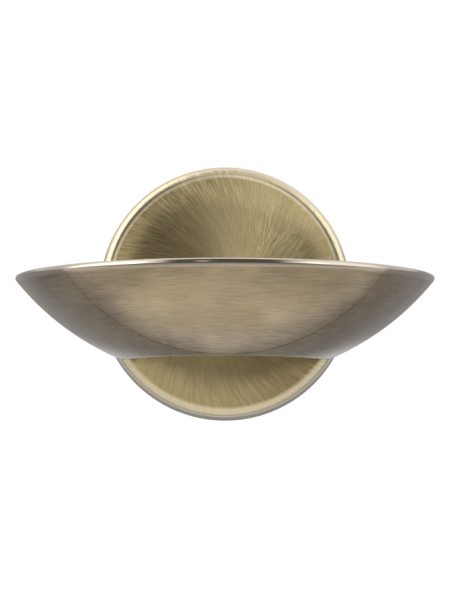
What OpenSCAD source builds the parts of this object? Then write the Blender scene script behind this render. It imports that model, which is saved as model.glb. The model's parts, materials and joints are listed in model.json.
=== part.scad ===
/* [Wall plate] */
// Diameter of the round wall plate at the wall
plate_d = 128; // [124:1:140]
// How far the plate's face stands off the wall
plate_depth = 22; // [22:0.5:26]
// Thickness of the drawn sheet
plate_t = 1; // [0.8:0.1:1.2]
// Radius of the rounded shoulder
shoulder_r = 5; // [3:0.5:5.5]
// Draft of the side wall in degrees
draft = 3.5; // [2:0.5:7]

/* [Dish] */
// Width of the half bowl across its tips
dish_w = 210; // [206:1:216]
// How far the dish stands out from the plate's face
dish_reach = 85; // [84:0.5:88]
// How far the lower lip lies inside the rim, bead to bead
lip_inset = 49.2; // [48:0.2:50.4]
// Height of the rim's top above the plate's centre
dish_top = 8.5; // [8.2:0.1:9]
// Height of the dish from its lower lip to its rim
dish_h = 43.1; // [42.8:0.1:43.6]
// Thickness of the spun sheet
dish_t = 1.2; // [1:0.1:1.3]
// Radius of the rolled bead along the rim
rim_r = 2.2; // [1.8:0.1:2.4]
// Radius of the small bead along the lower lip
lip_r = 0.9; // [0.8:0.1:1]

/* [Glass] */
// Thickness of the upper frosted glass
glass_t = 4; // [3:0.5:4]
// Room between the glass and the shell round it
glass_gap = 0.9; // [0.7:0.1:1.1]
// Thickness of the lower lens
lens_t = 2; // [1.5:0.5:2]
// Width of the ledge that carries the glass
ledge_w = 6; // [5:0.5:8]

/* [Wall bracket] */
// Distance between the two wall fixing slots
fixing_spacing = 60; // [56:1:64]
// Width of each slot
slot_w = 4.5; // [4:0.5:5]
// Length of each slot, end to end
slot_length = 12; // [8:1:12]
// Bore of the grommet that the house cable comes through
cable_bore_r = 4.5; // [4:0.5:5]

/* [Fits] */
// Room round a screw in a plain hole
hole_gap = 0.25; // [0.2:0.05:0.4]
// Room round a screw in a tapped hole, and round a lead in a crimp
thread_gap = 0.05; // [0.03:0.01:0.08]
// Room between a sheet and the curved shell that it is soldered to
seam_gap = 0.05; // [0.03:0.01:0.1]

/* [Hidden] */
$fn = 96;
cut = 1;

// Wall plate: the shoulder's arc is tangent to the drafted wall and the flat face
plate_r = plate_d / 2;
arc_s = plate_depth - shoulder_r;
arc_x = plate_r - (shoulder_r + arc_s * sin(draft)) / cos(draft);
inside_s = plate_depth - plate_t;

// Dish: a bowl of revolution about an upright axis, cut off by the plate's face
rim_circle_r = (pow(dish_w / 2, 2) + pow(dish_reach, 2)) / (2 * dish_reach);
axis_s = plate_depth + dish_reach - rim_circle_r;
bead_r = rim_circle_r - rim_r;
bead_z = dish_top - rim_r;
mouth_r = bead_r - rim_r;
dish_bottom = dish_top - dish_h;
lip_z = dish_bottom + lip_r;
lip_circle_r = bead_r - lip_inset;

// The bowl's outside is the sphere that touches the outsides of both beads
bead_rise = bead_z - lip_z;
bead_step = rim_r - lip_r;
bead_slope = bead_step / bead_rise;
bead_spread = pow(bead_step, 2) + pow(bead_r, 2) - pow(lip_circle_r, 2);
level_lift = (bead_spread - pow(bead_rise, 2)) / (2 * bead_rise);
lean = 1 - pow(bead_slope, 2);
bead_reach = (level_lift * bead_slope + sqrt(pow(level_lift, 2) + lean * pow(bead_r, 2))) / lean;
bowl_r = bead_reach + rim_r;
bowl_z = bead_z + level_lift + bead_slope * bead_reach;
inner_r = bowl_r - dish_t;

// Back panel
panel_t = 1.2;
panel_drop = 1.7;
panel_rise = 3.1;
panel_front = plate_depth + panel_t;
panel_top = dish_top - panel_drop;
panel_bottom = dish_bottom + panel_rise;
flange_depth = 6;
flange_t = 1;
flange_gap = 1;

// Ledge, pads, glass and lens
ledge_t = 1;
ledge_drop = 8.7;
ledge_z = dish_top - ledge_drop;
pad_t = 1;
pad_r = 2.5;
pad_side_room = 10.2;
pad_back_inset = 37;
glass_z = ledge_z + ledge_t + pad_t;
glass_back = panel_front + glass_gap;
glass_r = sqrt(pow(inner_r, 2) - pow(bowl_z - glass_z, 2)) - glass_gap;
glass_tip_cut = 4.8;
glass_half_w = glass_r - glass_tip_cut;
lens_rise = 4.1;
lens_gap = 0.3;
lens_z = dish_bottom + lens_rise;
lens_back = panel_front + lens_gap;
flange_bottom = lens_z + lens_t + flange_gap;

// Screws and nuts of the metric sizes used; a head is its radius and its height
m4_r = 2;
m3_r = 1.5;
m25_r = 1.25;
m4_head = [3.8, 2.4];
m3_head = [2.7, 2];
m25_head = [2.3, 1.6];
m4_nut_w = 7;
m3_nut_w = 5.5;
m4_nut_h = 3.2;
m3_nut_h = 2.4;
tip_gap = 0.2;

// LED carrier, and the screws that join it, the back panel and the wall plate
carrier_t = 1.5;
carrier_half_w = 54;
carrier_front_room = 49;
carrier_front = plate_depth + dish_reach - carrier_front_room;
carrier_back_front = panel_front + carrier_t;
carrier_bend_r = 3;
fixing_drop = 7.8;
fixing_lift = 9.2;
flange_over = 5.5;
fixing_z = ledge_z - fixing_drop;
carrier_z = fixing_z - fixing_lift;
carrier_top = carrier_z + carrier_t;
carrier_flange_top = fixing_z + flange_over;
dish_screw_x = 28;
dish_screw_end = 3.1;
dish_screw_length = carrier_back_front - inside_s + m4_nut_h + dish_screw_end;

// LED boards and their parts
board_t = 1.6;
board_corner_r = 1.5;
board_end_room = 12;
board_back_room = 5.8;
board_front_room = 1;
upper_board_half_w = carrier_half_w - board_end_room;
upper_board_back = panel_front + board_back_room;
upper_board_front = carrier_front - board_front_room;
upper_board_top = carrier_top + board_t;
lower_board_half_w = 28;
lower_board_d = 16;
lower_board_room = 6;
lower_board_front = carrier_front - lower_board_room;
lower_board_back = lower_board_front - lower_board_d;
lower_board_bottom = carrier_z - board_t;
chip = [3.5, 2.8, 0.8];
chip_wall = 0.4;
chip_recess = 0.05;
upper_chip_end = 12;
upper_row_front = 5;
upper_row_pitch = 7;
lower_chip_end = 8;
lower_row_front = 6;
upper_chip_pitch = (upper_board_half_w - upper_chip_end) / 2.5;
lower_chip_pitch = (lower_board_half_w - lower_chip_end) / 2.5;
upper_row_s = upper_board_front - upper_row_front;
lower_row_s = lower_board_front - lower_row_front;
chip_places = [-2.5:1:2.5];
upper_rows = [upper_row_s - upper_row_pitch, upper_row_s];
upper_chips = [for (i = chip_places, s = upper_rows) [i * upper_chip_pitch, s]];
lower_chips = [for (i = chip_places) [i * lower_chip_pitch, lower_row_s]];
upper_screw_end = 4;
upper_screw_edge = 3.5;
lower_screw_end = 3;
upper_screw_x = upper_board_half_w - upper_screw_end;
lower_screw_x = lower_board_half_w - lower_screw_end;
upper_screws = [for (x = [-upper_screw_x, upper_screw_x],
    s = [upper_board_back + upper_screw_edge, upper_board_front - upper_screw_edge]) [x, s]];
lower_screws = [for (x = [-lower_screw_x, lower_screw_x]) [x, lower_row_s]];
connector = [8, 8, 8];
connector_room = 2;
connector_back = upper_board_back + connector_room;
connector_top = upper_board_top + connector[2];
connector_wire_in = 3;
release_s = 6;
release_r = 0.9;

// Wall bracket
bracket_t = 1.5;
bracket_corner_r = 3;
bracket_room = 4;
strap_half_h = 12;
strap_half_w = plate_r - bracket_room;
strap_end = 6;
arm_half_w = 12;
arm_room = 24;
arm_length = plate_r - arm_room;
ear_depth = 14;
ear_half_h = 9;
side_screw_s = 8;
side_screw_length = 9;
side_screw_seat = plate_r - (side_screw_s - m4_head[0]) * tan(draft);
cable_hole_r = 8;
cable_lip_h = 1.7;
cable_lip_w = 1.8;

// Terminal block
block = [20, 17, 13];
block_corner_r = 1;
block_room = 39;
block_z = block_room - plate_r;
block_way_x = 5;
block_wire_rise = 6.5;
block_wire_s = bracket_t + block_wire_rise;
block_wire_r = 1.7;
block_screw_z = 4.5;
block_screw_seat = 9;
block_screw_hole_r = 2.9;
terminal_screw_h = 4.5;
terminal_slot = [4, 0.6, 0.8];

// LED driver
driver_half_w = 33;
driver_low = 18;
driver_high = 40;
driver_corner_r = 2;
driver_back_room = 2;
driver_back = block_wire_s - driver_back_room;
driver_ear_t = 2.5;
driver_ear_h = 8;
driver_ear_w = 9;
driver_ear_end = driver_half_w + driver_ear_w;
driver_stud_x = driver_ear_end - driver_ear_h / 2;
driver_stud_z = driver_low + driver_ear_h / 2;
driver_stud_length = 7.5;
driver_wire_drop = 7;
driver_wire_pitch = 5;
driver_wire_z = [driver_high - driver_wire_drop, driver_high - driver_wire_drop - driver_wire_pitch];

// Supply leads: the live one lies outside the neutral one
supply_lead_r = 1.2;
supply_bend_r = 4;
lead_pitch = 3.5;
supply_low_room = 22;
supply_side_room = 9;
supply_low_z = supply_low_room - plate_r;
supply_side_x = -driver_half_w - supply_side_room;

// Leads to the LEDs: the positive one lies outside the negative one
led_lead_r = 0.75;
led_bend_r = 3;
led_lead_x = 1.8;
led_side_room = 10;
led_side_x = driver_half_w + led_side_room;
led_side_s = 12;
led_side_step = 2.5;
wire_bore_r = 3.2;
wire_wall = 1.4;
wire_hole_r = wire_bore_r + wire_wall;
wire_lip = [1, 1.5];

// Leads between the boards, through a grommet near the carrier's end
link_lead_r = 0.6;
link_bend_r = 1.8;
link_end_room = 7;
link_x = carrier_half_w - link_end_room;
link_back_room = 3.5;
link_mid_s = lower_board_back + link_back_room;
link_pitch = 3;
link_s = [link_mid_s - link_pitch / 2, link_mid_s + link_pitch / 2];
link_top_room = 8.3;
link_top_x = upper_board_half_w - link_top_room;
link_rise = 3.9;
link_drop = 4.4;
link_low_room = 5.5;
link_low_x = lower_board_half_w - link_low_room;
link_bore_r = 2.4;
link_hole_r = 3.5;
link_lip = [1.1, 0.9];

// Earth terminals and the lead between them
earth_room = 14;
earth_x = strap_half_w - earth_room;
earth_stud_z = -27;
earth_stud_length = 6;
earth_turn_z = -13;
earth_bend_r = 2.5;
ring_r = 4;
ring_t = 0.8;
ring_overlap = 1;
barrel_r = 1.7;
barrel_start = 4.5;
barrel_end = 10.5;
lead_in = 2;

// Pads: one at the front of the ledge, one near each tip and two on the bar at the back
ledge_mid_r = glass_r - ledge_w / 2;
pad_side_s = panel_front + pad_side_room;
pad_side_x = sqrt(pow(ledge_mid_r, 2) - pow(pad_side_s - axis_s, 2));
pad_back_x = glass_half_w - pad_back_inset;
pad_points = [
    [0, axis_s + ledge_mid_r],
    [-pad_side_x, pad_side_s], [pad_side_x, pad_side_s],
    [-pad_back_x, panel_front + ledge_w / 2], [pad_back_x, panel_front + ledge_w / 2]];

// A point at x across, s out from the wall and z up
function at(x, s, z) = [x, -s, z];
function unit(v) = v / norm(v);

// Children drawn on XY face the room: their X stays, their Y goes up and their Z goes out
module facing_out(x, s, z) {
    translate(at(x, s, z))
        rotate([90, 0, 0])
            children();
}

module box(x, s, z) {
    translate([x[0], -s[1], z[0]])
        cube([x[1] - x[0], s[1] - s[0], z[1] - z[0]]);
}

module ball(r) {
    translate(at(0, axis_s, bowl_z))
        sphere(r, $fn = 240);
}

module dish_cylinder(r, low, high) {
    translate(at(0, axis_s, low))
        cylinder(h = high - low, r = r, $fn = 240);
}

// Everything in front of a plane that stands s out from the wall
module in_front(s) {
    box([-plate_d, plate_d], [s, s + 2 * plate_d], [-plate_d, plate_d]);
}

// A rubber grommet in a hole, its bore on Z, with the sheet between 0 and grip
module grommet(hole, bore, grip, lip) {
    difference() {
        union() {
            translate([0, 0, -lip[1]])
                cylinder(h = lip[1], r = hole + lip[0]);
            cylinder(h = grip, r = hole - seam_gap);
            translate([0, 0, grip])
                cylinder(h = lip[1], r = hole + lip[0]);
        }
        translate([0, 0, -lip[1] - cut])
            cylinder(h = grip + 2 * lip[1] + 2 * cut, r = bore);
    }
}

// A pan head screw that points along -Z, with its head resting on Z = 0 and a cross recess
module screw(r, length, head) {
    recess_w = 1.1 * head[0];
    difference() {
        union() {
            translate([0, 0, -length])
                cylinder(h = length + head[1] / 2, r = r - thread_gap);
            cylinder(h = head[1], r = head[0]);
        }
        for (turn = [0, 90])
            rotate([0, 0, turn])
                translate([-recess_w / 2, -recess_w / 10, head[1] / 2])
                    cube([recess_w, recess_w / 5, head[1]]);
    }
}

// A hexagon nut w wide across its flats
module nut(w, bore, h) {
    difference() {
        cylinder(h = h, r = w / sqrt(3), $fn = 6);
        translate([0, 0, -cut])
            cylinder(h = h + 2 * cut, r = bore + thread_gap);
    }
}

module rounded_plate(w, h, r) {
    square([w - 2 * r, h], center = true);
    square([w, h - 2 * r], center = true);
    for (x = [-1, 1], y = [-1, 1])
        translate([x * (w / 2 - r), y * (h / 2 - r)])
            circle(r);
}

module slot(w, length) {
    square([length - w, w], center = true);
    for (side = [-1, 1])
        translate([side * (length - w) / 2, 0])
            circle(w / 2);
}

// One straight stretch of a lead
module run(from, to, r) {
    way = to - from;
    translate(from)
        rotate([0, acos(way[2] / norm(way)), atan2(way[1], way[0])])
            cylinder(h = norm(way), r = r, $fn = 24);
}

// The quarter turn at a square corner of a lead
module quarter_turn(before, corner, after, r, bend_r) {
    along = unit(corner - before);
    away = unit(after - corner);
    side = cross(-away, along);
    centre = corner + bend_r * (away - along);
    multmatrix([
        [-away[0], along[0], side[0], centre[0]],
        [-away[1], along[1], side[1], centre[1]],
        [-away[2], along[2], side[2], centre[2]],
        [0, 0, 0, 1]])
        rotate_extrude(angle = 90, $fn = 48)
            translate([bend_r, 0])
                circle(r, $fn = 24);
}

// A lead along points whose corners are square, each one rounded by a quarter turn
module lead(points, r, bend_r) {
    last = len(points) - 1;
    for (i = [0:last - 1]) {
        way = unit(points[i + 1] - points[i]);
        from = points[i] + (i == 0 ? 0 : bend_r) * way;
        to = points[i + 1] - (i + 1 == last ? 0 : bend_r) * way;
        run(from, to, r);
    }
    for (i = [1:last - 1])
        quarter_turn(points[i - 1], points[i], points[i + 1], r, bend_r);
}

// Half of the wall plate's section: X is the radius and Y the way out from the wall
module plate_section(inset) {
    arc_r = shoulder_r - inset;
    centre = [arc_x, arc_s];
    outward = [cos(draft), sin(draft)];
    foot = plate_r - inset / cos(draft);
    polygon([[0, 0], [foot, 0], centre + arc_r * outward, centre, [0, arc_s]]);
    translate(centre)
        circle(arc_r);
    square([arc_x, plate_depth - inset]);
}

module wall_plate() {
    color("#8f7c52")
        difference() {
            facing_out(0, 0, 0)
                rotate([0, 0, -90])
                    rotate_extrude($fn = 240)
                        difference() {
                            plate_section(0);
                            plate_section(plate_t);
                        }
            facing_out(0, inside_s - cut, fixing_z) {
                cylinder(h = plate_t + 2 * cut, r = wire_hole_r);
                for (x = [-dish_screw_x, dish_screw_x])
                    translate([x, 0, 0])
                        cylinder(h = plate_t + 2 * cut, r = m4_r + hole_gap);
            }
            for (side = [0, 1])
                mirror([side, 0, 0])
                    translate(at(strap_half_w, side_screw_s, 0))
                        rotate([0, 90, 0])
                            cylinder(h = 2 * bracket_room, r = m4_r + hole_gap);
        }
}

// The strap and its arm lie on the wall; an ear at each end takes a side screw
module wall_bracket() {
    color("#b9bcc0")
        difference() {
            union() {
                facing_out(0, 0, 0)
                    linear_extrude(bracket_t) {
                        rounded_plate(2 * strap_half_w, 2 * ear_half_h, bracket_corner_r);
                        rounded_plate(2 * (strap_half_w - strap_end), 2 * strap_half_h, bracket_corner_r);
                        translate([0, -arm_length / 2])
                            rounded_plate(2 * arm_half_w, arm_length, bracket_corner_r);
                    }
                for (side = [0, 1])
                    mirror([side, 0, 0])
                        translate(at(strap_half_w - bracket_t, 0, 0))
                            rotate([0, 90, 0])
                                ear_plate();
            }
            for (x = [-fixing_spacing / 2, fixing_spacing / 2])
                facing_out(x, -cut, 0)
                    linear_extrude(bracket_t + 2 * cut)
                        slot(slot_w, slot_length);
            facing_out(0, -cut, 0)
                cylinder(h = bracket_t + 2 * cut, r = cable_hole_r);
            facing_out(earth_x, -cut, 0)
                cylinder(h = bracket_t + 2 * cut, r = m4_r + thread_gap);
            facing_out(0, -cut, block_z)
                cylinder(h = bracket_t + 2 * cut, r = m3_r + thread_gap);
        }
}

// Turned so that its thickness runs along X; the side screw is tapped through it
module ear_plate() {
    linear_extrude(bracket_t)
        difference() {
            intersection() {
                rounded_plate(2 * ear_half_h, 2 * ear_depth, bracket_corner_r);
                translate([-ear_half_h, -ear_depth])
                    square([2 * ear_half_h, ear_depth]);
            }
            translate([0, -side_screw_s])
                circle(m4_r + thread_gap);
        }
}

module cable_grommet() {
    color("#232323")
        facing_out(0, 0, 0)
            difference() {
                union() {
                    cylinder(h = bracket_t, r = cable_hole_r - seam_gap);
                    translate([0, 0, bracket_t])
                        cylinder(h = cable_lip_h, r = cable_hole_r + cable_lip_w);
                }
                translate([0, 0, -cut])
                    cylinder(h = bracket_t + cable_lip_h + 2 * cut, r = cable_bore_r);
            }
}

module terminal_block() {
    color("#e9e6da")
        difference() {
            facing_out(0, bracket_t, block_z)
                linear_extrude(block[2])
                    rounded_plate(block[0], block[1], block_corner_r);
            for (x = [-block_way_x, block_way_x]) {
                translate(at(x, block_wire_s, block_z - block[1]))
                    cylinder(h = 2 * block[1], r = block_wire_r);
                for (z = [-block_screw_z, block_screw_z])
                    facing_out(x, block_wire_s, block_z + z)
                        cylinder(h = block[2], r = m3_r + hole_gap);
            }
            facing_out(0, 0, block_z) {
                cylinder(h = 2 * block[2], r = m3_r + hole_gap);
                translate([0, 0, block_screw_seat])
                    cylinder(h = block[2], r = block_screw_hole_r);
            }
        }
}

module terminal_screws() {
    color("#c9a24a")
        for (x = [-block_way_x, block_way_x], z = [-block_screw_z, block_screw_z])
            facing_out(x, block_wire_s + supply_lead_r, block_z + z)
                difference() {
                    cylinder(h = terminal_screw_h, r = m3_r);
                    translate([0, 0, terminal_screw_h - terminal_slot[2]])
                        linear_extrude(terminal_slot[2] + cut)
                            square([terminal_slot[0], terminal_slot[1]], center = true);
                }
}

module block_screw() {
    color("#c4c6c8")
        facing_out(0, block_screw_seat, block_z)
            screw(m3_r, block_screw_seat - tip_gap, m3_head);
}

module earth_screw() {
    color("#c9a24a")
        facing_out(earth_x, bracket_t + ring_t, 0)
            screw(m4_r, bracket_t + ring_t - tip_gap, m4_head);
}

module earth_stud() {
    color("#b08a3c")
        facing_out(earth_x, inside_s - earth_stud_length, earth_stud_z)
            cylinder(h = earth_stud_length, r = m4_r - thread_gap);
}

module earth_nut() {
    color("#c9a24a")
        facing_out(earth_x, inside_s - ring_t - m4_nut_h, earth_stud_z)
            nut(m4_nut_w, m4_r, m4_nut_h);
}

// A crimped ring on XY with its thickness from 0 up and its barrel along Y
module ring_terminal() {
    difference() {
        union() {
            cylinder(h = ring_t, r = ring_r);
            translate([-barrel_r, 0, 0])
                cube([2 * barrel_r, barrel_start + ring_overlap, ring_t]);
            translate([0, barrel_start, barrel_r])
                rotate([-90, 0, 0])
                    cylinder(h = barrel_end - barrel_start, r = barrel_r);
        }
        translate([0, 0, -cut])
            cylinder(h = 2 * barrel_r + 2 * cut, r = m4_r + hole_gap);
        translate([0, barrel_start + ring_overlap, barrel_r])
            rotate([-90, 0, 0])
                cylinder(h = barrel_end, r = supply_lead_r + thread_gap);
    }
}

module ring_terminals() {
    color("#b5b8ba") {
        facing_out(earth_x, bracket_t, 0)
            rotate([0, 0, 180])
                ring_terminal();
        facing_out(earth_x, inside_s, earth_stud_z)
            rotate([0, 180, 0])
                ring_terminal();
    }
}

module earth_lead() {
    color("#7f9b2c")
        lead([
            at(earth_x, inside_s - barrel_r, earth_stud_z + barrel_start + lead_in),
            at(earth_x, inside_s - barrel_r, earth_turn_z),
            at(earth_x, bracket_t + barrel_r, earth_turn_z),
            at(earth_x, bracket_t + barrel_r, -barrel_start - lead_in)],
            supply_lead_r, earth_bend_r);
}

module side_screws() {
    color("#8f7c52")
        for (side = [0, 1])
            mirror([side, 0, 0])
                translate(at(side_screw_seat, side_screw_s, 0))
                    rotate([0, 90, 0])
                        screw(m4_r, side_screw_length, m4_head);
}

module driver_case() {
    color("#e4e4e0")
        difference() {
            union() {
                facing_out(0, driver_back, (driver_low + driver_high) / 2)
                    linear_extrude(inside_s - driver_back)
                        rounded_plate(2 * driver_half_w, driver_high - driver_low, driver_corner_r);
                facing_out(0, inside_s - driver_ear_t, driver_stud_z)
                    linear_extrude(driver_ear_t)
                        rounded_plate(2 * driver_ear_end, driver_ear_h, driver_corner_r);
            }
            for (x = [-driver_stud_x, driver_stud_x])
                facing_out(x, inside_s - driver_ear_t - cut, driver_stud_z)
                    cylinder(h = driver_ear_t + 2 * cut, r = m3_r + hole_gap);
        }
}

module driver_studs() {
    color("#b08a3c")
        for (x = [-driver_stud_x, driver_stud_x])
            facing_out(x, inside_s - driver_stud_length, driver_stud_z)
                cylinder(h = driver_stud_length, r = m3_r - thread_gap);
}

module driver_nuts() {
    color("#c4c6c8")
        for (x = [-driver_stud_x, driver_stud_x])
            facing_out(x, inside_s - driver_ear_t - m3_nut_h, driver_stud_z)
                nut(m3_nut_w, m3_r, m3_nut_h);
}

// From one way of the terminal block, round the lower left and up to the driver
module supply_lead(way_x, inset, driver_z) {
    lead([
        at(way_x, block_wire_s, block_z),
        at(way_x, block_wire_s, supply_low_z + inset),
        at(supply_side_x + inset, block_wire_s, supply_low_z + inset),
        at(supply_side_x + inset, block_wire_s, driver_z),
        at(-driver_half_w, block_wire_s, driver_z)],
        supply_lead_r, supply_bend_r);
}

module live_lead() {
    color("#6b3f26")
        supply_lead(block_way_x, 0, driver_wire_z[0]);
}

module neutral_lead() {
    color("#2f62ae")
        supply_lead(-block_way_x, lead_pitch, driver_wire_z[1]);
}

// From the driver's right end, down and across, then out through the wire grommet
module led_lead(side, right_x, driver_z, s) {
    lead([
        at(driver_half_w, s, driver_z),
        at(right_x, s, driver_z),
        at(right_x, s, fixing_z),
        at(side * led_lead_x, s, fixing_z),
        at(side * led_lead_x, connector_back + connector_wire_in, fixing_z)],
        led_lead_r, led_bend_r);
}

module led_positive_lead() {
    color("#b3271e")
        led_lead(1, led_side_x, driver_wire_z[0], led_side_s);
}

module led_negative_lead() {
    color("#1f1f1f")
        led_lead(-1, led_side_x - lead_pitch, driver_wire_z[1], led_side_s - led_side_step);
}

module wire_grommet() {
    color("#232323")
        facing_out(0, inside_s, fixing_z)
            grommet(wire_hole_r, wire_bore_r, carrier_back_front - inside_s, wire_lip);
}

// The spun shell: a spherical band that ends in the middle of two beads, both tangent to
// its outside, one rolled along the rim and a small one below
module dish_section() {
    translate([0, bowl_z])
        intersection() {
            difference() {
                circle(bowl_r, $fn = 480);
                circle(inner_r, $fn = 480);
            }
            polygon([
                [0, 0],
                2 * bowl_r * unit([lip_circle_r, lip_z - bowl_z]),
                2 * bowl_r * unit([bead_r, bead_z - bowl_z])]);
        }
    translate([bead_r, bead_z])
        circle(rim_r);
    translate([lip_circle_r, lip_z])
        circle(lip_r);
}

module dish() {
    color("#87765a")
        intersection() {
            translate(at(0, axis_s, 0))
                rotate_extrude($fn = 240)
                    dish_section();
            in_front(plate_depth);
        }
}

// A flat back with a return flange that follows the inside of the bowl
module back_panel() {
    color("#8f7c52")
        difference() {
            union() {
                intersection() {
                    ball(inner_r - seam_gap);
                    dish_cylinder(mouth_r - seam_gap, panel_bottom, panel_top);
                    box([-plate_d, plate_d], [plate_depth, panel_front], [panel_bottom, panel_top]);
                }
                intersection() {
                    difference() {
                        ball(inner_r - seam_gap);
                        ball(inner_r - seam_gap - flange_t);
                    }
                    box([-plate_d, plate_d],
                        [plate_depth, plate_depth + flange_depth],
                        [flange_bottom, ledge_z]);
                }
            }
            facing_out(0, plate_depth - cut, fixing_z) {
                cylinder(h = panel_t + 2 * cut, r = wire_hole_r);
                for (x = [-dish_screw_x, dish_screw_x])
                    translate([x, 0, 0])
                        cylinder(h = panel_t + 2 * cut, r = m4_r + hole_gap);
            }
        }
}

module dish_screws() {
    color("#c4c6c8")
        for (x = [-dish_screw_x, dish_screw_x])
            facing_out(x, carrier_back_front, fixing_z)
                screw(m4_r, dish_screw_length, m4_head);
}

module dish_nuts() {
    color("#c4c6c8")
        for (x = [-dish_screw_x, dish_screw_x])
            facing_out(x, inside_s - m4_nut_h, fixing_z)
                nut(m4_nut_w, m4_r, m4_nut_h);
}

// An L of bent sheet: its section has X out from the wall and Y up, run along X of the light
module carrier_section() {
    depth = carrier_front - panel_front;
    height = carrier_flange_top - carrier_z;
    difference() {
        union() {
            translate([carrier_bend_r, 0])
                square([depth - carrier_bend_r, carrier_t]);
            translate([0, carrier_bend_r])
                square([carrier_t, height - carrier_bend_r]);
            intersection() {
                translate([carrier_bend_r, carrier_bend_r])
                    circle(carrier_bend_r);
                square(carrier_bend_r);
            }
        }
        translate([carrier_bend_r, carrier_bend_r])
            circle(carrier_bend_r - carrier_t);
    }
}

module led_carrier() {
    color("#d5d7d8")
        difference() {
            translate(at(-carrier_half_w, panel_front, carrier_z))
                rotate([90, 0, -90])
                    mirror([0, 0, 1])
                        linear_extrude(2 * carrier_half_w)
                            carrier_section();
            facing_out(0, panel_front - cut, fixing_z) {
                cylinder(h = carrier_t + 2 * cut, r = wire_hole_r);
                for (x = [-dish_screw_x, dish_screw_x])
                    translate([x, 0, 0])
                        cylinder(h = carrier_t + 2 * cut, r = m4_r + hole_gap);
            }
            translate(at(link_x, link_mid_s, carrier_z - cut))
                cylinder(h = carrier_t + 2 * cut, r = link_hole_r);
            for (p = concat(upper_screws, lower_screws))
                translate(at(p[0], p[1], carrier_z - cut))
                    cylinder(h = carrier_t + 2 * cut, r = m25_r + thread_gap);
        }
}

// A flat board between two distances from the wall, with holes for its screws
module board(half_w, back, front, low, screws) {
    difference() {
        translate(at(0, (back + front) / 2, low))
            linear_extrude(board_t)
                rounded_plate(2 * half_w, front - back, board_corner_r);
        for (p = screws)
            translate(at(p[0], p[1], low - cut))
                cylinder(h = board_t + 2 * cut, r = m25_r + hole_gap);
    }
}

module upper_led_board() {
    color("#eef0ee")
        board(upper_board_half_w, upper_board_back, upper_board_front, carrier_top, upper_screws);
}

module lower_led_board() {
    color("#eef0ee")
        board(lower_board_half_w, lower_board_back, lower_board_front, lower_board_bottom, lower_screws);
}

// Children are drawn standing on the upper board, and hang from the lower one
module at_chips() {
    for (p = upper_chips)
        translate(at(p[0], p[1], upper_board_top))
            children();
    for (p = lower_chips)
        translate(at(p[0], p[1], lower_board_bottom))
            mirror([0, 0, 1])
                children();
}

module led_chips() {
    color("#f2f2ea")
        at_chips()
            difference() {
                translate([-chip[0] / 2, -chip[1] / 2, 0])
                    cube(chip);
                translate([0, 0, chip[2] / 2])
                    linear_extrude(chip[2])
                        chip_window();
            }
}

module chip_window() {
    rounded_plate(chip[0] - 2 * chip_wall, chip[1] - 2 * chip_wall, chip_wall);
}

module led_phosphor() {
    color("#e8c84a")
        at_chips()
            translate([0, 0, chip[2] / 2])
                linear_extrude(chip[2] / 2 - chip_recess)
                    chip_window();
}

module board_screws() {
    color("#c4c6c8") {
        for (p = upper_screws)
            translate(at(p[0], p[1], upper_board_top))
                screw(m25_r, board_t + carrier_t, m25_head);
        for (p = lower_screws)
            translate(at(p[0], p[1], lower_board_bottom))
                mirror([0, 0, 1])
                    screw(m25_r, board_t + carrier_t, m25_head);
    }
}

module board_connector() {
    color("#f0efe9")
        difference() {
            box([-connector[0] / 2, connector[0] / 2],
                [connector_back, connector_back + connector[1]],
                [upper_board_top, connector_top]);
            for (side = [-1, 1]) {
                facing_out(side * led_lead_x, connector_back - cut, fixing_z)
                    cylinder(h = connector_wire_in + 2 * cut, r = led_lead_r + thread_gap);
                translate(at(side * led_lead_x, connector_back + release_s, connector_top - cut))
                    cylinder(h = 2 * cut, r = release_r);
            }
        }
}

// Up off the upper board, out over its edge, down through the carrier and back below
module link_lead(s) {
    lead([
        at(link_top_x, s, upper_board_top),
        at(link_top_x, s, upper_board_top + link_rise),
        at(link_x, s, upper_board_top + link_rise),
        at(link_x, s, lower_board_bottom - link_drop),
        at(link_low_x, s, lower_board_bottom - link_drop),
        at(link_low_x, s, lower_board_bottom)],
        link_lead_r, link_bend_r);
}

module link_positive_lead() {
    color("#b3271e")
        link_lead(link_s[0]);
}

module link_negative_lead() {
    color("#1f1f1f")
        link_lead(link_s[1]);
}

module link_grommet() {
    color("#232323")
        translate(at(link_x, link_mid_s, carrier_z))
            grommet(link_hole_r, link_bore_r, carrier_t, link_lip);
}

// A D-shaped ring soldered to the bowl, with a straight bar along the back panel
module glass_ledge() {
    color("#8f7c52")
        intersection() {
            ball(inner_r - seam_gap);
            difference() {
                box([-plate_d, plate_d], [panel_front, 2 * plate_d], [ledge_z, ledge_z + ledge_t]);
                intersection() {
                    dish_cylinder(glass_r - ledge_w, ledge_z - cut, ledge_z + ledge_t + cut);
                    in_front(panel_front + ledge_w);
                }
            }
        }
}

module glass_pads() {
    color("#d9d9d6")
        for (p = pad_points)
            translate(at(p[0], p[1], ledge_z + ledge_t))
                cylinder(h = pad_t, r = pad_r);
}

module glass_diffuser() {
    color("#f4f4f0")
        intersection() {
            dish_cylinder(glass_r, glass_z, glass_z + glass_t);
            box([-glass_half_w, glass_half_w], [glass_back, 2 * plate_d], [glass_z, glass_z + glass_t]);
        }
}

module lower_lens() {
    color("#f0f0ea")
        intersection() {
            ball(inner_r - seam_gap);
            box([-plate_d, plate_d], [lens_back, 2 * plate_d], [lens_z, lens_z + lens_t]);
        }
}

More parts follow.
